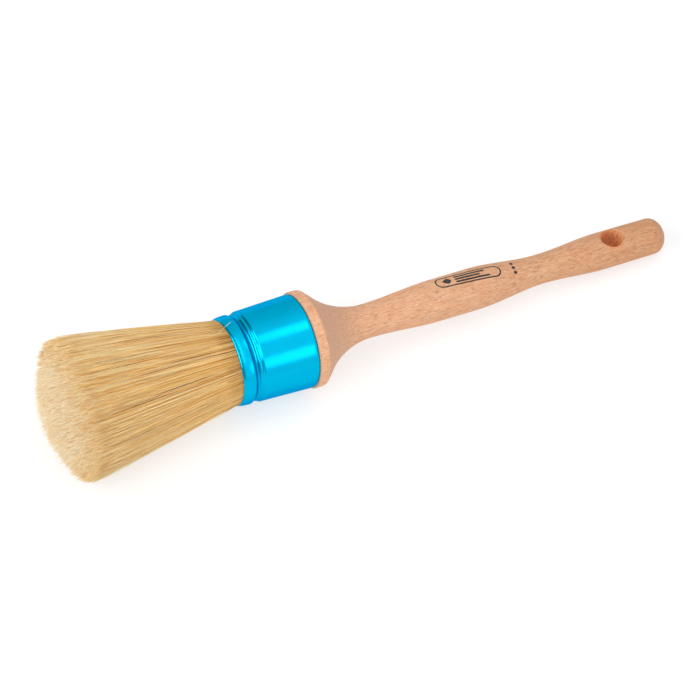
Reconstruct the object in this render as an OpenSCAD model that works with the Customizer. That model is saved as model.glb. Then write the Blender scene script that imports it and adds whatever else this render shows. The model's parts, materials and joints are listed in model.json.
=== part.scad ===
// Round stencil brush: a turned beech handle, a beaded aluminium ferrule, and a domed bristle
// bundle that is set in resin round a core plug. Millimetres, +Z up.
// The brush lies along X, bristles towards -X. The origin is the centre of the hanging hole,
// and the hole runs along Z. Along the brush, places are counted from the collar's front face:
// positive on the handle, negative inside and in front of the ferrule.

/* [Handle] */
// Length of the handle behind the ferrule
handle_l = 212.8; // [205:0.1:230]
// Diameter of the collar that the ferrule butts against
collar_d = 51.3; // [51.2:0.1:54]
// Length of the collar as far as its shoulder
collar_l = 4.2; // [3:0.1:8]
// Radius lost along the slightly tapered collar
collar_taper = 0.05; // [0:0.05:0.4]
// Radius of the small round on the collar's front edge
collar_edge_r = 0.8; // [0.4:0.1:1]
// Radius of the shoulder between the collar and the sweep
shoulder_r = 2.7; // [2:0.1:4]
// Steepest angle of the sweep down to the neck
sweep_angle = 45; // [40:1:50]
// Radius of the hollow sweep down to the neck
sweep_r = 38.5; // [32:0.5:42]
// Diameter of the neck
neck_d = 18; // [16:0.1:20]
// Distance from the collar's face to the middle of the belly
belly_at = 89; // [85:0.5:92]
// Length over which the belly keeps its full diameter
belly_l = 20; // [4:1:24]
// Diameter of the belly
belly_d = 22.2; // [20:0.1:25]
// Distance from the collar's face to the waist
waist_at = 139.5; // [130:0.5:150]
// Diameter of the waist
waist_d = 15.7; // [15:0.1:18]
// Distance from the collar's face to the swell before the end
swell_at = 175.5; // [165:0.5:180]
// Diameter of the swell before the end
swell_d = 19.7; // [19:0.1:21]
// Diameter of the handle at its end
end_d = 19.4; // [18.6:0.1:20.2]
// Length of the rounded end
end_round_l = 7.5; // [5:0.5:9]

/* [Hanging hole] */
// Diameter of the hanging hole
hole_d = 11; // [8:0.5:12]
// Length of the hole's straight wall
hole_wall_l = 12.6; // [12:0.1:14]
// Radius of the rounded lip at each mouth of the hole
hole_lip_r = 4.5; // [4:0.1:5]
// Distance from the hole's axis to the handle's end
hole_from_end = 31.8; // [28:0.1:34]

/* [Ferrule] */
// Length of the ferrule
ferrule_l = 41.5; // [38:0.5:45]
// Thickness of the ferrule's metal
ferrule_wall = 0.6; // [0.5:0.05:0.8]
// Diameter of the ferrule at its rear, before the edge turns in
ferrule_rear_d = 49.7; // [49.4:0.1:50.4]
// Diameter of the ferrule's plain body at its front
ferrule_front_d = 47.7; // [47.2:0.1:48.6]
// Diameter at the mouth
mouth_d = 44.8; // [44.4:0.1:45.4]
// Distance from the mouth to the front bead's crest
bead_at = 5.9; // [4.5:0.1:6.4]
// Diameter over the front bead
bead_d = 47.3; // [46.6:0.1:48]
// Distance from the mouth to the bottom of the groove behind the bead
groove_at = 8.6; // [8:0.1:9.2]
// Diameter at the bottom of the groove
groove_d = 43.8; // [43:0.1:44.6]
// Diameter over the fine rib behind the groove
rib_d = 46; // [45.4:0.1:46.6]
// Gap between the ferrule's rear edge and the collar
seat_gap = 0.25; // [0.1:0.05:0.4]

/* [Spigot] */
// Length of the handle's spigot inside the ferrule
spigot_l = 18; // [14:0.5:20]
// Thickness of the glue round the spigot
glue_t = 0.3; // [0.2:0.05:0.5]

/* [Bristles] */
// Free length of the bristles on the axis
bristle_l = 99.5; // [80:0.5:110]
// Greatest diameter of the flared bristles
flare_d = 73; // [64:0.2:76]
// Height of the domed end
dome_h = 15; // [10:0.5:20]
// How round the dome's edge is: 0 for a parabola's sharp edge, 1 for an ellipse
dome_roundness = 0.25; // [0.05:0.05:0.6]
// How much the flare bows outwards
flare_bow = 0.25; // [0:0.05:0.3]
// Depth of the flat that the soft bristles take where the brush lies on them
lying_flat = 0.5; // [0.3:0.1:1]

/* [Core] */
// Diameter of the core plug
plug_d = 16; // [10:0.5:20]
// Length of the core plug
plug_l = 16; // [12:0.5:16]
// Thickness of the resin behind the bristle roots
resin_l = 8; // [6:0.5:9]
// Depth to which the plug is sunk in the resin
plug_sunk = 3; // [2:0.5:4]

/* [Hidden] */
$fn = 96;

// The collar's face, counted from the hanging hole.
collar_x = hole_from_end - handle_l;
ferrule_rear = -seat_gap;
mouth = ferrule_rear - ferrule_l;
resin_front = -spigot_l - resin_l;
plug_rear = resin_front + plug_sunk;
spigot_chamfer = 1.2;
edge_turn_l = 1.6;
edge_turn_in = 0.3;
ease_steps = 14;
arc_steps = 12;
dome_steps = 16;
edge_steps = 6;
bead_steps = 12;
rib_steps = 8;

// The fine rib, its dip and the plain body, by their distance behind the groove's bottom.
rib_after = 1.5;
dip_after = 2.2;
body_after = 3.6;
rib_dip = 0.05;
body_start = mouth + groove_at + body_after;
ferrule_stations = [
    [bead_at, bead_d / 2],
    [groove_at, groove_d / 2],
    [groove_at + rib_after, rib_d / 2],
    [groove_at + dip_after, rib_d / 2 - rib_dip],
    [groove_at + body_after, ferrule_front_d / 2]
];

// Points [radius, place] of a smooth S from one station up to, but not including, the next.
function ease(x0, r0, x1, r1, steps) =
    [for (i = [0 : steps - 1]) let (u = i / steps)
        [r0 + (r1 - r0) * (1 - cos(180 * u)) / 2, x0 + (x1 - x0) * u]];

// Points [radius, place] of an arc; angle 0 points away from the axis and 90 towards the end.
function arc(centre_x, centre_r, radius, from, to, steps) =
    [for (i = [0 : steps]) let (a = from + (to - from) * i / steps)
        [centre_r + radius * cos(a), centre_x + radius * sin(a)]];

// The ferrule's outer and inner radius on its plain body, at a place x.
function body_outer_r(x) =
    ferrule_front_d / 2
    + (ferrule_rear_d - ferrule_front_d) / 2 * (x - body_start) / (ferrule_rear - body_start);
function body_inner_r(x) = body_outer_r(x) - ferrule_wall;

// The ferrule from its mouth to its rear edge, as [radius, place], moved inwards by inset.
function bead_front_points(inset) =
    [for (i = [0 : bead_steps - 1]) let (a = 90 * i / bead_steps)
        [mouth_d / 2 + ((bead_d - mouth_d) / 2 - inset) * sin(a),
         mouth + bead_at - (bead_at - inset) * cos(a)]];
function rear_edge_points(inset) =
    [for (i = [0 : rib_steps]) let (a = 90 * i / rib_steps)
        [body_outer_r(ferrule_rear - edge_turn_l) - edge_turn_in * (1 - cos(a)) - inset,
         ferrule_rear - edge_turn_l + edge_turn_l * sin(a)]];
function ferrule_points(inset) = concat(
    bead_front_points(inset),
    [for (i = [0 : len(ferrule_stations) - 2])
        let (front = ferrule_stations[i], rear = ferrule_stations[i + 1])
            for (p = ease(mouth + front[0], front[1] - inset, mouth + rear[0], rear[1] - inset,
                          rib_steps)) p],
    [[ferrule_front_d / 2 - inset, body_start]],
    rear_edge_points(inset)
);

// The turned handle: collar, shoulder, hollow sweep, neck, belly, waist, swell and rounded end.
shoulder_top_r = collar_d / 2 - collar_taper;
shoulder_end_x = collar_l + shoulder_r * sin(sweep_angle);
shoulder_end_r = shoulder_top_r - shoulder_r * (1 - cos(sweep_angle));
sweep_start_r = neck_d / 2 + sweep_r * (1 - cos(sweep_angle));
sweep_start_x = shoulder_end_x + (shoulder_end_r - sweep_start_r) / tan(sweep_angle);
neck_at = sweep_start_x + sweep_r * sin(sweep_angle);
end_round_x = handle_l - end_round_l;

function collar_points() = concat(
    arc(collar_edge_r, collar_d / 2 - collar_edge_r, collar_edge_r, -90, 0, edge_steps),
    arc(collar_l, shoulder_top_r - shoulder_r, shoulder_r, 0, sweep_angle, arc_steps),
    arc(neck_at, neck_d / 2 + sweep_r, sweep_r, 180 + sweep_angle, 180, 2 * arc_steps)
);
function grip_points() = concat(
    ease(neck_at, neck_d / 2, belly_at - belly_l / 2, belly_d / 2, ease_steps),
    ease(belly_at + belly_l / 2, belly_d / 2, waist_at, waist_d / 2, ease_steps),
    ease(waist_at, waist_d / 2, swell_at, swell_d / 2, ease_steps),
    [[swell_d / 2, swell_at]]
);
function end_points() =
    [for (i = [0 : arc_steps]) let (a = 90 * i / arc_steps)
        [end_d / 2 * cos(a), end_round_x + end_round_l * sin(a)]];

// The bristle bundle's outer radius at u, from 0 at the mouth to 1 at the widest point.
bristle_mouth_r = mouth_d / 2 - ferrule_wall;
bristle_neck_r = groove_d / 2 - ferrule_wall;
flare_l = bristle_l - dome_h;
function flare_r(u) =
    bristle_mouth_r + (flare_d / 2 - bristle_mouth_r) * u * (1 + flare_bow * (1 - u));

// A point [radius, place] on the domed end: a = 90 on the axis and a = 0 at the widest point.
function dome_point(a) =
    [flare_d / 2 * cos(a),
     mouth - flare_l - dome_h * sin(a) * ((1 - dome_roundness) * sin(a) + dome_roundness)];

// The core plug's outline.
function plug_points() = [
    [0, plug_rear - plug_l],
    [plug_d / 2, plug_rear - plug_l],
    [plug_d / 2, plug_rear],
    [0, plug_rear]
];

// Stands a turned profile of [radius, place] points along X.
module turned(points) {
    translate([collar_x, 0, 0])
        rotate([0, 90, 0])
            rotate_extrude()
                polygon(points);
}

// Half of the hanging hole's tool: a straight wall that opens into a rounded lip.
module hole_half() {
    mouth_z = hole_wall_l / 2;
    rotate_extrude() {
        square([hole_d / 2, mouth_z + hole_lip_r]);
        difference() {
            translate([hole_d / 2, mouth_z])
                square(hole_lip_r);
            translate([hole_d / 2 + hole_lip_r, mouth_z])
                circle(hole_lip_r);
        }
    }
}

module handle() {
    spigot_r = body_inner_r(-spigot_l) - glue_t;
    spigot_rear_r = body_inner_r(-edge_turn_l - seat_gap) - glue_t - edge_turn_in;
    color("burlywood")
        difference() {
            turned(concat(
                [[0, -spigot_l]],
                [[spigot_r - spigot_chamfer, -spigot_l]],
                [[spigot_r, spigot_chamfer - spigot_l]],
                [[spigot_rear_r, -edge_turn_l - seat_gap]],
                [[spigot_rear_r, 0]],
                collar_points(),
                grip_points(),
                end_points()
            ));
            hole_half();
            mirror([0, 0, 1])
                hole_half();
        }
}

module ferrule() {
    inside = ferrule_points(ferrule_wall);
    color("deepskyblue")
        turned(concat(
            ferrule_points(0),
            [for (i = [len(inside) - 1 : -1 : 0]) inside[i]],
            [[bristle_mouth_r, mouth + ferrule_wall]],
            [[bristle_mouth_r, mouth]]
        ));
}

// The space under the plane that the brush lies on: it touches the flare and the handle's end.
module under_lying_plane() {
    flare_x = collar_x + mouth - flare_l;
    lie_angle = atan((flare_d - end_d) / 2 / (collar_x + end_round_x - flare_x));
    block = 2 * flare_d;
    translate([flare_x, 0, lying_flat - flare_d / 2])
        rotate([0, -lie_angle, 0])
            translate([-block / 2, -block / 2, -block])
                cube(block);
}

module bristle_bundle() {
    // The roots are pinched by the ferrule's groove, and the free ends flare out to a dome.
    flare = [for (i = [arc_steps : -1 : 0]) let (u = i / arc_steps) [flare_r(u), mouth - flare_l * u]];
    dome = [for (i = [dome_steps : -1 : 0]) let (a = 90 * i / dome_steps) dome_point(a)];
    color("khaki")
        difference() {
            turned(concat(
                dome,
                [for (i = [1 : len(flare) - 1]) flare[i]],
                [[bristle_neck_r, mouth + bead_at]],
                [[bristle_neck_r, mouth + groove_at + rib_after / 2]],
                [[body_inner_r(resin_front), resin_front]],
                [[0, resin_front]]
            ));
            turned(plug_points());
            under_lying_plane();
        }
}

module core_plug() {
    color("peru")
        turned(plug_points());
}

module resin_setting() {
    // Fills the ferrule between the spigot and the bristle roots, round the plug's sunk end.
    color("darkgoldenrod")
        turned([
            [plug_d / 2, resin_front],
            [body_inner_r(resin_front), resin_front],
            [body_inner_r(-spigot_l), -spigot_l],
            [0, -spigot_l],
            [0, plug_rear],
            [plug_d / 2, plug_rear]
        ]);
}

module spigot_glue() {
    // A thin sleeve between the spigot and the ferrule.
    front_x = spigot_chamfer - spigot_l;
    rear_x = -edge_turn_l - seat_gap - glue_t;
    color("ivory")
        turned([
            [body_inner_r(front_x) - glue_t, front_x],
            [body_inner_r(front_x), front_x],
            [body_inner_r(rear_x), rear_x],
            [body_inner_r(rear_x) - glue_t, rear_x]
        ]);
}

handle();
ferrule();
bristle_bundle();
core_plug();
resin_setting();
spigot_glue();
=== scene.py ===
"""Round stencil brush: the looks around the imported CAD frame.

The brush lies along X with its bristles towards -X, and the hanging hole runs along Z through the
origin. Everything is in metres, in the CAD frame. Turns round the brush count from +Y towards +Z.
"""
import json
import math

import bpy
import numpy as np
from mathutils import Matrix, Vector


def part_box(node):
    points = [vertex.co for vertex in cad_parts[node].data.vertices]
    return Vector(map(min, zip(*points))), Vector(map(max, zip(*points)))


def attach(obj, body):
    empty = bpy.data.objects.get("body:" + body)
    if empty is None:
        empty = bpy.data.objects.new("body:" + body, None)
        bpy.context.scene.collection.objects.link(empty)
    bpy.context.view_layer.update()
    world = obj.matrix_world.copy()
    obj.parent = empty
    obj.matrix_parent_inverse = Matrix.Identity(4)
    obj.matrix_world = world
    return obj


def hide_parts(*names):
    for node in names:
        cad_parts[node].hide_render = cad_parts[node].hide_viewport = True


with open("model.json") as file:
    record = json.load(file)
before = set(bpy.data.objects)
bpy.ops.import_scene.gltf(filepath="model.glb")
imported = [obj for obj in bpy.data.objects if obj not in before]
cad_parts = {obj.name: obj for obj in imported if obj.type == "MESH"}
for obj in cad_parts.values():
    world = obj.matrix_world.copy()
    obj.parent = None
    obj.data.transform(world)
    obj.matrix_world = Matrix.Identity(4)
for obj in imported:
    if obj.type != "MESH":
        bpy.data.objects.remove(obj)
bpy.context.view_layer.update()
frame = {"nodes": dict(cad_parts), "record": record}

MM = 0.001
FULL_TURN = 2 * math.pi
rng = np.random.default_rng(7)

# Driving dimensions, read from the frame.
HOLE_R = frame["record"]["mounts"][0]["dims"]["r_mm"] * MM
FERRULE_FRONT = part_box("ferrule")[0].x
FERRULE_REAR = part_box("ferrule")[1].x
FERRULE_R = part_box("ferrule")[1].y
HANDLE_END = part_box("handle")[1].x
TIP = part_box("bristle_bundle")[0].x
FLARE_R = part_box("bristle_bundle")[1].y


def outline(node):
    """(places, radii) of a turned CAD node, read on its +Y side, clear of the hole and the flat."""
    points = np.array([v.co for v in frame["nodes"][node].data.vertices])
    points = points[points[:, 1] >= np.abs(points[:, 2])]
    places = np.round(points[:, 0], 5)
    radii = np.hypot(points[:, 1], points[:, 2])
    stations = np.unique(places)
    return stations, np.array([radii[places == p].max() for p in stations])


HANDLE_OUTLINE = outline("handle")


# ---------------------------------------------------------------- node trees

class Nodes:
    """A node tree under construction: its nodes and their links."""

    def __init__(self, tree):
        self.tree = tree

    def node(self, kind, inputs=None, **settings):
        """Adds a node. inputs gives a value or a linked socket for each named or numbered input."""
        node = self.tree.nodes.new(kind)
        for name, value in settings.items():
            setattr(node, name, value)
        for name, value in (inputs or {}).items():
            self.feed(node.inputs[name], value)
        return node

    def feed(self, socket, value):
        if isinstance(value, bpy.types.NodeSocket):
            self.tree.links.new(value, socket)
        else:
            socket.default_value = value

    def math(self, operation, a, b=0.0, clamp=False):
        return self.node("ShaderNodeMath", {0: a, 1: b}, operation=operation,
                         use_clamp=clamp).outputs[0]

    def parts(self, vector):
        """The X, Y and Z of a vector, by name."""
        return self.node("ShaderNodeSeparateXYZ", {"Vector": vector}).outputs

    def ramp(self, factor, stops):
        """A colour ramp over factor; stops are (place, colour or grey)."""
        node = self.node("ShaderNodeValToRGB", {"Fac": factor})
        elements = node.color_ramp.elements
        while len(elements) < len(stops):
            elements.new(0.5)
        for element, (at, colour) in zip(elements, stops):
            element.position = at
            element.color = (*colour, 1) if isinstance(colour, tuple) else (colour,) * 3 + (1,)
        return node.outputs["Color"]

    def span(self, value, low, high, to_low=0.0, to_high=1.0, form="LINEAR"):
        """value moved from the range low to high into to_low to to_high, and clamped."""
        return self.node("ShaderNodeMapRange", {
            "Value": value, "From Min": low, "From Max": high, "To Min": to_low,
            "To Max": to_high}, interpolation_type=form).outputs[0]


class Material(Nodes):
    """A procedural material under construction."""

    def __init__(self, name):
        self.material = bpy.data.materials.new(name)
        self.material.use_nodes = True
        super().__init__(self.material.node_tree)
        self.shader = self.tree.nodes["Principled BSDF"]
        self.place = self.node("ShaderNodeTexCoord").outputs["Object"]

    def stretched(self, sizes, location=(0, 0, 0), vector=None):
        """The place in units of sizes, the feature size along X, Y and Z in metres."""
        return self.node("ShaderNodeMapping", {
            "Vector": vector or self.place,
            "Location": [-at / size for at, size in zip(location, sizes)],
            "Scale": [1 / size for size in sizes],
        }).outputs[0]

    def noise(self, sizes, detail=2.0, roughness=0.5, distortion=0.0, location=(0, 0, 0),
              vector=None):
        return self.node("ShaderNodeTexNoise", {
            "Vector": self.stretched(sizes, location, vector), "Scale": 1.0, "Detail": detail,
            "Roughness": roughness, "Distortion": distortion,
        }).outputs["Fac"]

    def mix(self, factor, a, b, blend="MIX"):
        node = self.node("ShaderNodeMix", data_type="RGBA", blend_type=blend)
        colours = [s for s in node.inputs if s.type == "RGBA"]
        self.feed(node.inputs[0], factor)
        for socket, value in zip(colours, (a, b)):
            self.feed(socket, (*value, 1) if isinstance(value, tuple) else value)
        return [s for s in node.outputs if s.type == "RGBA"][0]

    def bump(self, height, distance, strength=1.0):
        return self.node("ShaderNodeBump", {
            "Height": height, "Distance": distance, "Strength": strength}).outputs[0]

    def finish(self, **inputs):
        """Sets the shader's inputs, named here with _ for a space, and returns the material."""
        for name, value in inputs.items():
            self.feed(self.shader.inputs[name.replace("_", " ")], value)
        return self.material


# ---------------------------------------------------------------- materials

def beech():
    """Bare beech: pinkish tan with wavy streaks, short dark rays, and greyer where cut across."""
    m = Material("beech")
    tone = m.noise((0.060, 0.010, 0.010))
    patches = m.noise((0.013, 0.0035, 0.0035), distortion=0.5)
    streaks = m.noise((0.0085, 0.0009, 0.0009), detail=4, roughness=0.62, distortion=0.7)
    fibres = m.noise((0.0040, 0.00035, 0.00035), roughness=0.6)
    rays = m.noise((0.0028, 0.00062, 0.00062), detail=1, distortion=0.6)
    flecks = m.noise((0.0034, 0.0009, 0.0009), detail=1, location=(0.3, 0.1, 0.2))

    colour = m.ramp(tone, [(0.3, (0.850, 0.470, 0.275)), (0.7, (0.825, 0.455, 0.285))])
    colour = m.mix(m.span(patches, 0.42, 0.70, 0.0, 0.55), colour, (0.830, 0.385, 0.185))
    colour = m.mix(m.span(streaks, 0.46, 0.70, 0.0, 0.70), colour, (0.610, 0.285, 0.150))
    colour = m.mix(m.span(streaks, 0.46, 0.26, 0.0, 0.60), colour, (0.930, 0.620, 0.420))
    colour = m.mix(m.span(fibres, 0.40, 0.70, 0.0, 0.45), colour, (0.690, 0.345, 0.195))
    colour = m.mix(m.span(rays, 0.56, 0.70, 0.0, 0.62), colour, (0.480, 0.205, 0.100))
    colour = m.mix(m.span(flecks, 0.65, 0.75, 0.0, 0.60), colour, (0.400, 0.165, 0.075))

    # Darker and warmer towards the handle's rounded end, paler and cooler next to the ferrule.
    place = m.parts(m.place)
    along = m.span(place["X"], FERRULE_REAR, HANDLE_END)
    depth = m.ramp(along, [(0.02, (0.950, 0.985, 1.000)), (0.10, (0.890, 0.915, 0.935)),
                           (0.31, (0.895, 0.925, 0.935)), (0.62, (0.840, 0.860, 0.840)),
                           (1.00, (0.770, 0.725, 0.645))])
    colour = m.mix(1.0, colour, depth, blend="MULTIPLY")

    # Where the turned surface cuts across the fibres, it is greyer, with fine turning lines. The
    # wave texture has 20 radians to a unit of its place.
    line_pitch = 0.85 * MM
    cut = m.math("ABSOLUTE", m.parts(m.node("ShaderNodeNewGeometry").outputs["Normal"])["X"])
    turning = m.node("ShaderNodeTexWave", {
        "Vector": m.place, "Scale": FULL_TURN / (20 * line_pitch), "Distortion": 1.0,
        "Detail": 1.0}, wave_type="BANDS", bands_direction="X").outputs["Fac"]
    lines = m.math("MULTIPLY", turning, m.span(cut, 0.15, 0.6, 0.0, 0.20))
    colour = m.mix(m.span(cut, 0.12, 0.62, 0.0, 0.55), colour, (0.600, 0.375, 0.265))
    colour = m.mix(lines, colour, (0.330, 0.180, 0.110))

    # The bored hole is redder than the turned outside, with darker patches.
    from_bore = m.math("SQRT", m.math("ADD", m.math("POWER", place["X"], 2.0),
                                      m.math("POWER", place["Y"], 2.0)))
    bored = m.span(from_bore, HOLE_R * 1.02, HOLE_R * 1.40, 0.85, 0.0)
    inside = m.ramp(m.noise((0.0009, 0.0009, 0.0020), detail=3),
                    [(0.35, (0.880, 0.390, 0.160)), (0.70, (0.540, 0.185, 0.065))])
    colour = m.mix(bored, colour, inside)

    height = m.math("ADD", m.math("MULTIPLY", rays, -0.6), m.math("MULTIPLY", streaks, -0.9))
    height = m.math("ADD", height, m.math("MULTIPLY", lines, 0.8))
    return m.finish(Base_Color=colour, Roughness=m.span(fibres, 0.3, 0.7, 0.62, 0.74),
                    Specular_IOR_Level=0.2, Normal=m.bump(height, 0.16 * MM, 0.5))


def anodised_aluminium():
    """Blue anodised aluminium with a satin, faintly turned surface."""
    m = Material("anodised_aluminium")
    cloud = m.noise((0.010, 0.006, 0.006), detail=3)
    turned = m.noise((0.00016, 0.05, 0.05), roughness=0.7)
    mottle = m.noise((0.0012, 0.0012, 0.0012))
    colour = m.ramp(cloud, [(0.3, (0.001, 0.415, 0.675)), (0.7, (0.001, 0.445, 0.705))])
    roughness = m.math("ADD", m.span(cloud, 0.3, 0.7, 0.17, 0.21),
                       m.span(turned, 0.3, 0.7, 0.0, 0.03))
    height = m.math("ADD", m.math("MULTIPLY", turned, 0.5), m.math("MULTIPLY", mottle, 0.6))
    return m.finish(Base_Color=colour, Metallic=1.0, Roughness=roughness,
                    Specular_Tint=(0.0, 0.55, 0.85, 1.0), Normal=m.bump(height, 0.03 * MM, 0.3))


def bristle():
    """Natural bristle. U is the strand's shade, and V the share of its length from root to tip."""
    m = Material("bristle")
    uv = m.node("ShaderNodeUVMap", uv_map=STRAND_MAP).outputs["UV"]
    strand = m.parts(uv)
    mottle = m.noise((0.013, 0.06, 1), vector=uv)
    lighter = m.math("ADD", m.span(mottle, 0.3, 0.7, -0.05, 0.05),
                     m.span(strand["Y"], 0.1, 0.9, -0.09, 0.20))
    shade = m.math("ADD", strand["X"], lighter, clamp=True)
    colour = m.ramp(shade, [
        (0.00, (0.260, 0.085, 0.012)), (0.22, (0.600, 0.265, 0.055)),
        (0.45, (0.800, 0.440, 0.125)), (0.70, (0.885, 0.580, 0.210)),
        (1.00, (0.945, 0.770, 0.440))])
    tips = m.ramp(shade, [(0.05, (0.760, 0.460, 0.210)), (0.60, (0.960, 0.770, 0.475)),
                          (1.00, (1.000, 0.900, 0.700))])
    colour = m.mix(m.span(strand["Y"], 0.925, 0.985, 0.0, 0.90), colour, tips)
    return m.finish(Base_Color=colour, Roughness=0.5, Specular_IOR_Level=0.2)


def ink():
    """Black transfer print that lets a little of the grain show."""
    m = Material("ink")
    grain = m.noise((0.004, 0.0004, 0.0004))
    colour = m.ramp(grain, [(0.45, (0.012, 0.009, 0.008)), (0.75, (0.060, 0.035, 0.024))])
    return m.finish(Base_Color=colour, Roughness=0.45, Normal=m.bump(grain, 0.05 * MM, 0.3))


def filler(name, light, dark, grain, roughness):
    """A hidden filler such as resin, glue or a wood plug: two tones mixed by noise."""
    m = Material(name)
    tone = m.noise(grain, detail=4, roughness=0.6)
    colour = m.ramp(tone, [(0.3, light), (0.7, dark)])
    return m.finish(Base_Color=colour, Roughness=roughness, Normal=m.bump(tone, 0.1 * MM, 0.3))


def paint_node(node, material):
    """Gives a carried-over CAD node its material."""
    slots = frame["nodes"][node].data.materials
    slots.clear()
    slots.append(material)


# ---------------------------------------------------------------- mesh pieces

# The visual export keeps a UV map of this name, so the strands' shading bakes without a seam.
STRAND_MAP = "OFBake"


def add_piece(name, points, faces, material, uvs=None, smooth=True):
    """A mesh piece that rides on the brush. faces are arrays of rows of point numbers."""
    mesh = bpy.data.meshes.new(name)
    sizes = np.concatenate([np.full(len(rows), rows.shape[1]) for rows in faces])
    corners = np.concatenate([rows.ravel() for rows in faces]).astype(np.int32)
    mesh.vertices.add(len(points))
    mesh.vertices.foreach_set("co", points.astype(np.float32).ravel())
    mesh.loops.add(len(corners))
    mesh.loops.foreach_set("vertex_index", corners)
    mesh.polygons.add(len(sizes))
    mesh.polygons.foreach_set("loop_start", (np.cumsum(sizes) - sizes).astype(np.int32))
    mesh.polygons.foreach_set("use_smooth", np.full(len(sizes), smooth))
    mesh.update(calc_edges=True)
    if uvs is not None:
        layer = mesh.uv_layers.new(name=STRAND_MAP)
        layer.data.foreach_set("uv", uvs[corners].astype(np.float32).ravel())
    mesh.validate()
    mesh.materials.append(material)
    piece = bpy.data.objects.new(name, mesh)
    bpy.context.scene.collection.objects.link(piece)
    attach(piece, "root")
    return piece


def add_bristle_piece(name, points, faces, uvs):
    """A piece that stands for part of the CAD's plain bundle."""
    piece = add_piece(name, points.reshape(-1, 3), faces, MATERIALS["bristle"],
                      uvs.reshape(-1, 2))
    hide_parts("bristle_bundle")


def polar(place, radius, turn):
    """Points at places along the brush, at a radius and a turn round its axis."""
    return np.stack(np.broadcast_arrays(place, radius * np.cos(turn), radius * np.sin(turn)), -1)


def tube_points(middle, turn, thick, corners):
    """Points round each middle point of a tube: thick away from it, at its corners' angles."""
    radial, across = polar(0, 1, turn), polar(0, 1, turn + math.pi / 2)
    outwards = (thick[..., None] * np.cos(corners))[..., None] * radial[..., None, :]
    sideways = (thick[..., None] * np.sin(corners))[..., None] * across[..., None, :]
    return middle[..., None, :] + outwards + sideways


def tube_faces(steps, around, count=1):
    """The walls and the ends of count closed tubes of steps rings with around points each."""
    row, col = np.arange(steps - 1)[:, None], np.arange(around)[None, :]
    a, b = row * around + col, row * around + (col + 1) % around
    wall = np.stack([a, a + around, b + around, b], -1).reshape(-1, 4)
    root = np.arange(around)
    ends = np.stack([root, (steps - 1) * around + root[::-1]])
    first = (np.arange(count) * steps * around)[:, None, None]
    return [(first + rows).reshape(-1, rows.shape[-1]) for rows in (wall, ends)]


# ---------------------------------------------------------------- bristles

class Bundle:
    """The bundle's outer shape: a flare from the ferrule's mouth, and a domed end."""

    SET_ASIDE = 1.3 * MM

    def __init__(self):
        places, radii = outline("bristle_bundle")
        widest = int(radii.argmax())
        mouth = int(np.abs(places - FERRULE_FRONT).argmin())
        self.edge = places[widest]
        self.length = FERRULE_FRONT - TIP
        self.flare = places[widest:mouth + 1], radii[widest:mouth + 1]
        self.dome = radii[:widest + 1], places[:widest + 1]
        self.slope = -(radii[widest + 1] - radii[widest]) / (places[widest + 1] - places[widest])

    def out(self, place):
        """The share of the free length at a place: 0 at the ferrule's mouth, 1 at the tip."""
        return np.clip((FERRULE_FRONT - place) / self.length, 0, 1)

    def aside(self, place):
        """How far the bristles have moved along Y at a place: they lean a little to one side."""
        return -self.SET_ASIDE * self.out(place) ** 2

    def radius(self, place):
        """The flare's radius at a place, carried on in a straight line beyond its widest point."""
        return np.interp(place, *self.flare) + np.maximum(self.edge - place, 0) * self.slope

    def dome_place(self, radius):
        """The place of the domed end at a radius."""
        return np.interp(radius, *self.dome)

    def end_place(self, share):
        """Where a strand that keeps this share of the flare's radius meets the domed end."""
        place = np.full_like(share, self.edge)
        for _ in range(4):
            place = self.dome_place(np.minimum(share * self.radius(place), FLARE_R))
        return place


BUNDLE = Bundle()

# How strands gather: (clumps round the bundle, share of the way that strands lean to theirs).
CLUMPS = ((150, 0.10), (520, 0.25))

# Partings that show in the view: (turn, first and last share of the free length, width, painted
# shade: how much darker the strands in it are coloured). The others are random.
SEEN_PARTINGS = (
    (math.radians(75), 0.20, 0.62, 0.35 * MM, 0.60),
    (math.radians(152), 0.53, 0.62, 0.30 * MM, 0.45),
    (math.radians(149), 0.75, 0.88, 0.30 * MM, 0.45),
)
RANDOM_PARTINGS = 110
PARTING_DEPTH = 0.6 * MM

# Near the rim, strands are pale over a shorter stretch, by this share of the free length.
RIM_PALE_LESS = 0.055

# Loose hairs: (name, places of both ends from the ferrule's mouth in mm, turns of both ends in
# degrees, heights of a point past the middle and of the far end above the surface in mm).
LOOSE_HAIRS = (
    ("loose_hair_on_bead", (-6.2, 3.9), (85.2, 72.5), (0.65, 0.35)),
    ("loose_hair_below_1", (-2.0, -17.0), (207, 211), (0.50, 1.30)),
    ("loose_hair_below_2", (-4.0, -15.0), (214, 209), (0.35, 0.90)),
    ("loose_hair_below_3", (-1.5, -11.0), (203, 206), (0.60, 1.50)),
    ("loose_hair_above", (-3.0, -20.0), (32, 36), (0.40, 1.10)),
)


def random_turns(count):
    return rng.uniform(0, FULL_TURN, count)


def smooth_noise(count, strength, turn):
    """Random values with about count waves round the bundle, read at turns."""
    values = rng.normal(0, strength, count)
    return np.interp(np.mod(turn, FULL_TURN), np.linspace(0, FULL_TURN, count + 1),
                     np.append(values, values[0]))


def random_partings(count):
    """Partings in the form of SEEN_PARTINGS."""
    return [(rng.uniform(0, FULL_TURN), first, first + rng.uniform(0.12, 0.45),
             rng.uniform(0.12, 0.3) * MM, rng.uniform(0.05, 0.25))
            for first in rng.uniform(0.02, 0.6, count)]


def strand_shades(turn):
    """A shade from 0, dark, to 1, pale, for each strand: strands side by side share part of it."""
    shared = smooth_noise(420, 0.07, turn) + smooth_noise(90, 0.04, turn)
    odd = rng.uniform(0, 1, len(turn))
    shade = 0.55 + shared + rng.normal(0, 0.24, len(turn))
    shade = np.where(odd < 0.05, shade - 0.28, shade)
    return np.where(odd > 0.93, shade + 0.25, shade)


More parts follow.
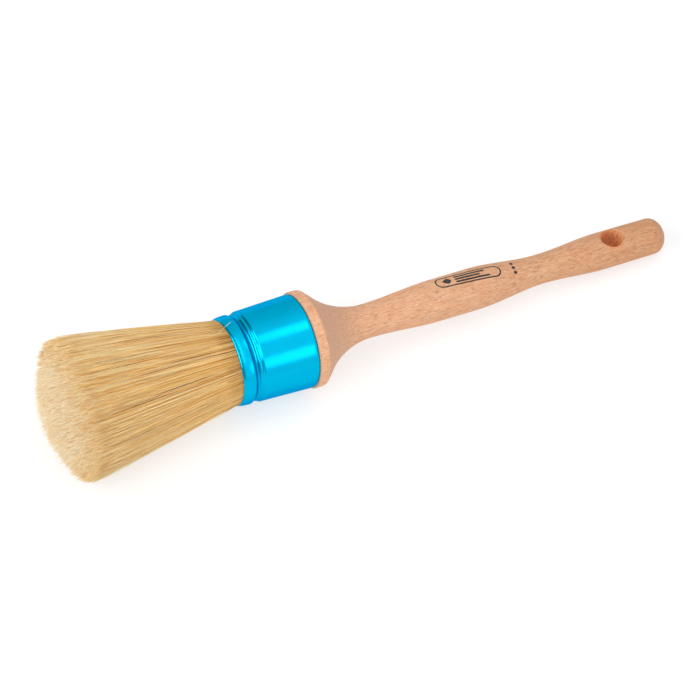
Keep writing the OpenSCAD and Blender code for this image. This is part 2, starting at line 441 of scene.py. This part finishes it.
def gather(angle, out):
    """The strands' turns: each leans towards its clumps, most halfway along the bundle."""
    turn = angle[:, None] * np.ones_like(out)
    for clumps, pull in CLUMPS:
        centres = np.sort(random_turns(clumps))
        nearest = centres[np.clip(np.searchsorted(centres, angle), 0, clumps - 1)]
        lean = (nearest - angle) * rng.uniform(0.2, 1, len(angle))
        turn += lean[:, None] * pull * np.sin(math.pi * out ** 0.8)
    return turn


def part_strands(partings, turn, radius, tone, flare, out):
    """Moves strands aside from each parting and paints shade on what shows in it, in place."""
    for centre, first, last, width, painted_shade in partings:
        away = np.mod(turn - centre + math.pi, FULL_TURN) - math.pi
        span = np.clip((out - first) / (last - first), 0, 1)
        here = np.exp(-(away * flare / width) ** 2) * np.sin(math.pi * span) ** 0.5
        turn += np.sign(away) * here * 0.9 * width / flare
        radius -= here * PARTING_DEPTH
        # The strands in a parting are coloured darker: painted shade.
        tone -= here * painted_shade


def make_strands(name, share, angle, start, inset, steps, thickness, shade, wander,
                 partings=(), splay=0.0):
    """Closed three-sided strands. For each strand, share is its share of the flare's radius, start
    the place where it starts, inset how far short of the domed end it stops, wander how far it
    strays from a straight line, and splay how far its tip stands out."""
    count = len(share)
    sides = 3
    along = np.linspace(0, 1, steps)[None, :] ** 0.9
    end = BUNDLE.end_place(share) + inset
    place = start[:, None] + (end - start)[:, None] * along
    flare = BUNDLE.radius(place)
    out = BUNDLE.out(place)

    turn = gather(angle, out)
    phase = rng.uniform(0, FULL_TURN, (2, count, 1))
    waves = rng.uniform(0.4, 1.3, (2, count, 1))
    bend = np.sin(phase + FULL_TURN * waves * out)
    sway = wander[:, None] * out ** 1.5
    turn += sway * bend[0] / flare
    radius = share[:, None] * flare + 0.7 * sway * bend[1]
    radius += np.broadcast_to(splay, count)[:, None] * out ** 3
    tone = np.repeat(shade[:, None], steps, axis=1)
    part_strands(partings, turn, radius, tone, flare, out)

    middle = polar(place, radius, turn)
    middle[..., 1] += BUNDLE.aside(place)
    taper = np.clip(0.25 + 9 * (1 - along), 0, 1) ** 0.7
    corners = rng.uniform(0, FULL_TURN, (count, 1, 1)) + np.arange(sides) * FULL_TURN / sides
    points = tube_points(middle, turn, thickness[:, None] * taper, corners)

    from_tip = np.linalg.norm(middle - middle[:, -1:, :], axis=-1) / BUNDLE.length
    from_tip += RIM_PALE_LESS * np.clip((share - 0.5) / 0.5, 0, 1)[:, None]
    side_shades = np.arange(sides) * 0.004
    uvs = np.stack(np.broadcast_arrays(
        np.clip(tone[..., None] + side_shades, 0.01, 0.99),
        np.clip(1 - from_tip, 0.01, 0.99)[..., None]), -1)
    add_bristle_piece(name, points, tube_faces(steps, sides, count), uvs)


def build_outer_strands(pieces=4, count=2600):
    """The long strands that show on the bundle's side; one in five splays at its tip."""
    partings = [*SEEN_PARTINGS, *random_partings(RANDOM_PARTINGS)]
    for number in range(pieces):
        share = 1 - 0.075 * rng.uniform(0, 1, count) ** 1.3
        angle = random_turns(count)
        inset = rng.normal(0.8, 1.9, count) * MM
        splays = rng.uniform(0, 1, count) < 0.2
        make_strands(
            f"bristles_outer_{number + 1}", share, angle,
            start=FERRULE_FRONT + rng.uniform(1.5, 3, count) * MM, inset=inset, steps=9,
            thickness=rng.uniform(0.11, 0.21, count) * MM, shade=strand_shades(angle),
            wander=rng.gamma(2.0, 0.22, count) * MM, partings=partings,
            splay=splays * 2.2 * rng.uniform(0, 1, count) ** 2 * MM)


def build_tip_strands(pieces=4, count=8000):
    """The short strands that fill the domed end."""
    for number in range(pieces):
        share = np.sqrt(rng.uniform(0, 0.94 ** 2, count))
        angle = random_turns(count)
        make_strands(
            f"bristles_tip_{number + 1}", share, angle,
            start=BUNDLE.end_place(share) + rng.uniform(10, 14, count) * MM,
            inset=rng.normal(2.2, 1.7, count) * MM, steps=3,
            thickness=rng.uniform(0.12, 0.19, count) * MM, shade=strand_shades(angle),
            wander=rng.gamma(2.0, 0.3, count) * MM)


def build_strays(count=480):
    """Thin strands that lie on the others and stand out at their tips."""
    angle = random_turns(count)
    make_strands(
        "bristles_stray", rng.uniform(0.99, 1.008, count), angle,
        start=FERRULE_FRONT + rng.uniform(1.5, 3, count) * MM,
        inset=rng.uniform(-0.8, 6, count) * MM, steps=14,
        thickness=rng.uniform(0.07, 0.12, count) * MM,
        shade=rng.uniform(0.6, 0.98, count), wander=rng.gamma(3.0, 0.42, count) * MM,
        splay=rng.uniform(0, 1.8, count) * MM)


def build_core():
    """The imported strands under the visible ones: a closed, finely ribbed body."""
    rings, dome_rings, around = 40, 24, 720
    depth = 0.9
    dome_inset = 5.5 * MM
    angle = np.linspace(0, FULL_TURN, around, endpoint=False)
    ribs = smooth_noise(300, 0.12 * MM, angle)
    places = np.linspace(FERRULE_FRONT + 2.5 * MM, BUNDLE.edge + 6 * MM, rings)
    radii = depth * BUNDLE.radius(places)
    dome = np.linspace(1, 0.02, dome_rings)
    places = np.append(places, BUNDLE.dome_place(dome * FLARE_R * depth) + dome_inset)
    radii = np.append(radii, dome * radii[-1])
    places = np.insert(places, 0, places[0])
    radii = np.insert(radii, 0, 0.02 * radii[0])
    radius = radii[:, None] + ribs[None, :] * np.minimum(1, radii / FERRULE_R)[:, None]
    points = polar(places[:, None], radius, angle)
    points[..., 1] += BUNDLE.aside(places)[:, None]
    points[-dome_rings:, :, 0] += rng.normal(0, 0.5 * MM, (dome_rings, around)) * dome[:, None]

    steps = len(places)
    on_dome = np.arange(steps) >= steps - dome_rings
    shade = 0.55 + 0.05 * on_dome[:, None] + smooth_noise(420, 0.08, angle)[None, :]
    from_root = np.where(on_dome, 0.93, BUNDLE.out(places) * 0.7)
    uvs = np.stack(np.broadcast_arrays(np.clip(shade, 0.02, 0.98),
                                       np.clip(from_root, 0.01, 0.99)[:, None]), -1)
    add_bristle_piece("bristle_core", points, tube_faces(steps, around), uvs)


def build_loose_hair(name, places, turns, heights):
    """One pale hair that stands out at the ferrule's mouth or lies across its bead."""
    steps, sides = 12, 5
    thick = 0.10 * MM
    start_height = 0.35
    bead_r = 0.955 * FERRULE_R
    along = np.linspace(0, 1, steps)
    place = FERRULE_FRONT + np.interp(along, (0, 1), places) * MM
    turn = np.radians(np.interp(along, (0, 1), turns))
    surface = np.where(place < FERRULE_FRONT, BUNDLE.radius(place), bead_r)
    height = np.interp(along, (0, 0.6, 1), (start_height, *heights)) * MM
    radius = np.interp(along, (0, 1), (surface[0], surface[-1])) + height
    corners = np.arange(sides) * FULL_TURN / sides
    points = tube_points(polar(place, radius, turn), turn, np.full(steps, thick), corners)
    add_bristle_piece(name, points, tube_faces(steps, sides), np.full((steps * sides, 2), 0.97))


def build_bristles():
    build_outer_strands()
    build_tip_strands()
    build_strays()
    build_core()
    for hair in LOOSE_HAIRS:
        build_loose_hair(*hair)


# ---------------------------------------------------------------- print on the handle

# The print's middle, its turn round the handle there, and how far it turns along its length.
PRINT_X = HANDLE_END - 116.9 * MM
PRINT_TURN = math.radians(84.5)
PRINT_L = 37 * MM
PRINT_SLANT = math.radians(13.0) / PRINT_L
INK_TOP, INK_BOTTOM = 0.03 * MM, -0.10 * MM
BAR_LENGTHS = (19 * MM, 14 * MM, 17 * MM)
BAR_PITCH = 1.8 * MM
DOT_D = 1.9 * MM
DOT_PITCH = 2.9 * MM


def wrap(u, v, lift):
    """Points on the handle, u along it and v round it from the print's middle, in metres."""
    radius = np.interp(PRINT_X + u, *HANDLE_OUTLINE)
    return polar(PRINT_X + u, radius + lift, PRINT_TURN + PRINT_SLANT * u + v / radius)


def patch(u, v, ring=False):
    """A thin closed slab of ink over a grid of points, whose rows close into a ring if asked."""
    rows, cols = u.shape
    points = np.concatenate([wrap(u, v, lift).reshape(-1, 3) for lift in (INK_TOP, INK_BOTTOM)])
    row = np.arange(rows if ring else rows - 1)
    after = (row + 1) % rows
    a = (row[:, None] * cols + np.arange(cols - 1)[None, :]).ravel()
    b = (after[:, None] * cols + np.arange(cols - 1)[None, :]).ravel()
    sheet = np.stack([a, a + 1, b + 1, b], -1)
    under = rows * cols
    edges = [np.stack([row * cols, after * cols], -1),
             np.stack([after * cols + cols - 1, row * cols + cols - 1], -1)]
    if not ring:
        col = np.arange(cols - 1)
        edges += [np.stack([col + 1, col], -1),
                  np.stack([under - cols + col, under - cols + col + 1], -1)]
    edge = np.concatenate(edges)
    walls = np.stack([edge[:, 0], edge[:, 1], edge[:, 1] + under, edge[:, 0] + under], -1)
    return points, np.concatenate([sheet, sheet[:, ::-1] + under, walls])


def filled(length, half_width, middle=(0, 0), rows=14, cols=5):
    """A filled shape: length along the handle, and its half width as a function of 0 to 1."""
    share = (1 - np.cos(np.linspace(0.02, 0.98, rows) * math.pi)) / 2
    u = middle[0] + (share[:, None] - 0.5) * length + np.zeros(cols)
    v = middle[1] + half_width(share)[:, None] * np.linspace(-1, 1, cols)
    return patch(u, v)


def pill_outline(length, height, line):
    """The outline of a pill shape: a half circle at each end and two straight sides."""
    arc = np.linspace(-0.5, 0.5, 13) * math.pi
    side = np.linspace(-1, 1, 14)[1:-1]
    upright = np.full(len(side), math.pi / 2)
    reach, radius = (length - height) / 2, height / 2
    centre = np.concatenate([np.full(len(arc), reach), -side * reach,
                             np.full(len(arc), -reach), side * reach])
    turn = np.concatenate([arc, upright, arc + math.pi, -upright])
    spread = np.array([[radius - line, radius]])
    return patch(centre[:, None] + np.cos(turn)[:, None] * spread,
                 np.sin(turn)[:, None] * spread, ring=True)


def drop(share):
    return 2.0 * MM * np.sin(math.pi * share ** 1.5)


def bar(share):
    return np.full_like(share, 0.55 * MM)


def dot(share):
    return DOT_D * np.sqrt(share * (1 - share))


def build_print():
    """A plain pill outline with a drop and three bars, and three dots beside it."""
    drop_at, bars_from, dots_at = -12.4 * MM, -7.5 * MM, 26 * MM
    shapes = [pill_outline(PRINT_L, 7.6 * MM, 0.75 * MM),
              filled(5.4 * MM, drop, (drop_at, 0))]
    for number, length in enumerate(BAR_LENGTHS):
        middle = (bars_from + length / 2, (1 - number) * BAR_PITCH)
        shapes.append(filled(length, bar, middle, rows=20, cols=3))
    for number in range(3):
        shapes.append(filled(DOT_D, dot, (dots_at, (1 - number) * DOT_PITCH), rows=9))
    firsts = np.cumsum([0] + [len(points) for points, _ in shapes])
    add_piece("handle_print", np.concatenate([points for points, _ in shapes]),
              [faces + first for (_, faces), first in zip(shapes, firsts)],
              MATERIALS["ink"], smooth=False)


# ---------------------------------------------------------------- studio

# The camera looks at the brush near AIM, a point on its axis inside the ferrule. TURN is the
# camera's angle round the brush from +Z towards -Y, TILT is how far it stands towards the
# bristles, and RISE is the brush's slope in view. AIM shows AIM_OFFSET right of and above the
# middle of the view.
TURN = math.radians(34.0)
TILT = math.radians(20.4)
RISE = math.radians(16.77)
DISTANCE = 1.938
LENS, SENSOR = 195.43, 36.0
AIM = Vector((FERRULE_REAR - 12.71 * MM, 0, 0))
AIM_OFFSET = (-37.32 * MM, 1.22 * MM)
AXIS = Vector((1, 0, 0))

# Softboxes that face AIM: (name, turn and lean in degrees, distance, length, width, radiance).
# Their turn counts as the camera's does, and a lean above 0 stands towards the handle.
SOFTBOXES = (
    ("upper_softbox", 3.5, 17, 0.45, 0.075, 0.17, 1.5),
    ("lower_softbox", 63, 15.5, 0.45, 0.075, 0.21, 1.4),
    ("front_softbox", 15, -4, 0.9, 0.07, 1.30, 2.6),
    ("tip_softbox", 30, -50, 1.0, 0.5, 0.7, 4.2),
    ("top_softbox", -15, -42, 1.0, 0.5, 0.5, 3.4),
)

# The surroundings' grey along X, dimmer towards both ends of the brush, so that the bead and the
# groove show: (share of the way from -X to +X, grey).
SURROUNDINGS = ((0.0, 0.9), (0.08, 0.8), (0.18, 0.27), (0.33, 0.30), (0.43, 0.95), (0.78, 1.0),
                (0.88, 0.35), (1.0, 0.3))


def direction_from(turn, lean):
    """The unit vector at a turn round the brush from +Z towards -Y, leaning towards +X."""
    return Vector((math.sin(lean), -math.sin(turn) * math.cos(lean),
                   math.cos(turn) * math.cos(lean)))


def stand(thing, right, up, towards, place):
    """Puts a camera or light at a place with its view along -towards."""
    thing.matrix_world = Matrix((right, up, towards)).transposed().to_4x4()
    thing.location = place
    bpy.context.scene.collection.objects.link(thing)


def build_camera():
    towards = direction_from(TURN, -TILT)
    along = (AXIS - AXIS.dot(towards) * towards).normalized()
    above = towards.cross(along)
    right = math.cos(RISE) * along - math.sin(RISE) * above
    up = math.sin(RISE) * along + math.cos(RISE) * above
    camera = bpy.data.objects.new("camera", bpy.data.cameras.new("camera"))
    camera.data.lens = LENS
    camera.data.sensor_width = SENSOR
    stand(camera, right, up, towards,
          AIM + DISTANCE * towards - AIM_OFFSET[0] * right - AIM_OFFSET[1] * up)
    bpy.context.scene.camera = camera


def build_softbox(name, turn, lean, distance, length, width, radiance):
    """An elliptical area light, length along the brush; its energy comes from its radiance."""
    towards = direction_from(math.radians(turn), math.radians(lean))
    side = (AXIS - towards.x * towards).normalized()
    light = bpy.data.lights.new(name, "AREA")
    light.shape = "ELLIPSE"
    light.size = length
    light.size_y = width
    light.energy = radiance * length * width * math.pi ** 2 / 4
    box = bpy.data.objects.new(name, light)
    box.visible_camera = False
    stand(box, side, towards.cross(side), towards, AIM + distance * towards)


def build_surroundings():
    """Soft light from all round, brighter on the camera's side."""
    world = bpy.data.worlds.new("studio")
    bpy.context.scene.world = world
    world.use_nodes = True
    w = Nodes(world.node_tree)
    direction = w.node("ShaderNodeTexCoord").outputs["Generated"]
    grey = w.ramp(w.span(w.parts(direction)["X"], -1.0, 1.0), SURROUNDINGS)
    glow_turn = math.radians(35)
    facing = w.node("ShaderNodeVectorMath", {
        0: direction, 1: (0.25, -math.sin(glow_turn), math.cos(glow_turn)),
    }, operation="DOT_PRODUCT").outputs["Value"]
    background = w.tree.nodes["Background"]
    w.feed(background.inputs["Color"], grey)
    w.feed(background.inputs["Strength"], w.span(facing, 0.0, 1.0, 0.84, 1.24, "SMOOTHSTEP"))


def build_floor():
    """A plain pale floor. The brush lies on its flare and the handle's end, so it slopes."""
    half_size = 2.0
    rests_at = HANDLE_END - 7.5 * MM
    end_r = np.interp(rests_at, *HANDLE_OUTLINE)
    slope = math.atan((FLARE_R - end_r) / (rests_at - BUNDLE.edge))
    corners = [(x * half_size, y * half_size, 0) for x, y in ((-1, -1), (1, -1), (1, 1), (-1, 1))]
    mesh = bpy.data.meshes.new("floor")
    mesh.from_pydata(corners, [], [(0, 1, 2, 3)])
    floor = bpy.data.objects.new("floor", mesh)
    floor.matrix_world = Matrix.Rotation(-slope, 4, "Y")
    floor.location = (BUNDLE.edge, 0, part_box("bristle_bundle")[0].z)
    bpy.context.scene.collection.objects.link(floor)

    # It glows like a light table, so that next to no shadow falls on it.
    m = Material("floor")
    mesh.materials.append(m.finish(
        Base_Color=m.ramp(m.noise((0.3, 0.3, 0.3)), [(0.3, 0.42), (0.7, 0.44)]), Roughness=0.9,
        Specular_IOR_Level=0.1, Emission_Color=(1.0, 1.0, 1.0, 1.0), Emission_Strength=0.60))


# ---------------------------------------------------------------- the whole scene

MATERIALS = {
    "beech": beech(),
    "anodised_aluminium": anodised_aluminium(),
    "bristle": bristle(),
    "ink": ink(),
    "plug_wood": filler("plug_wood", (0.60, 0.42, 0.25), (0.42, 0.26, 0.13),
                        grain=(0.01, 0.001, 0.001), roughness=0.7),
    "resin": filler("resin", (0.16, 0.08, 0.03), (0.08, 0.035, 0.012),
                    grain=(0.003, 0.003, 0.003), roughness=0.35),
    "glue": filler("glue", (0.78, 0.72, 0.55), (0.66, 0.58, 0.40),
                   grain=(0.002, 0.002, 0.002), roughness=0.6),
}
for node, material in (("handle", "beech"), ("ferrule", "anodised_aluminium"),
                       ("core_plug", "plug_wood"), ("resin_setting", "resin"),
                       ("spigot_glue", "glue")):
    paint_node(node, MATERIALS[material])
build_bristles()
build_print()
build_camera()
build_surroundings()
for softbox in SOFTBOXES:
    build_softbox(*softbox)
build_floor()
bpy.context.scene.view_settings.view_transform = "Standard"
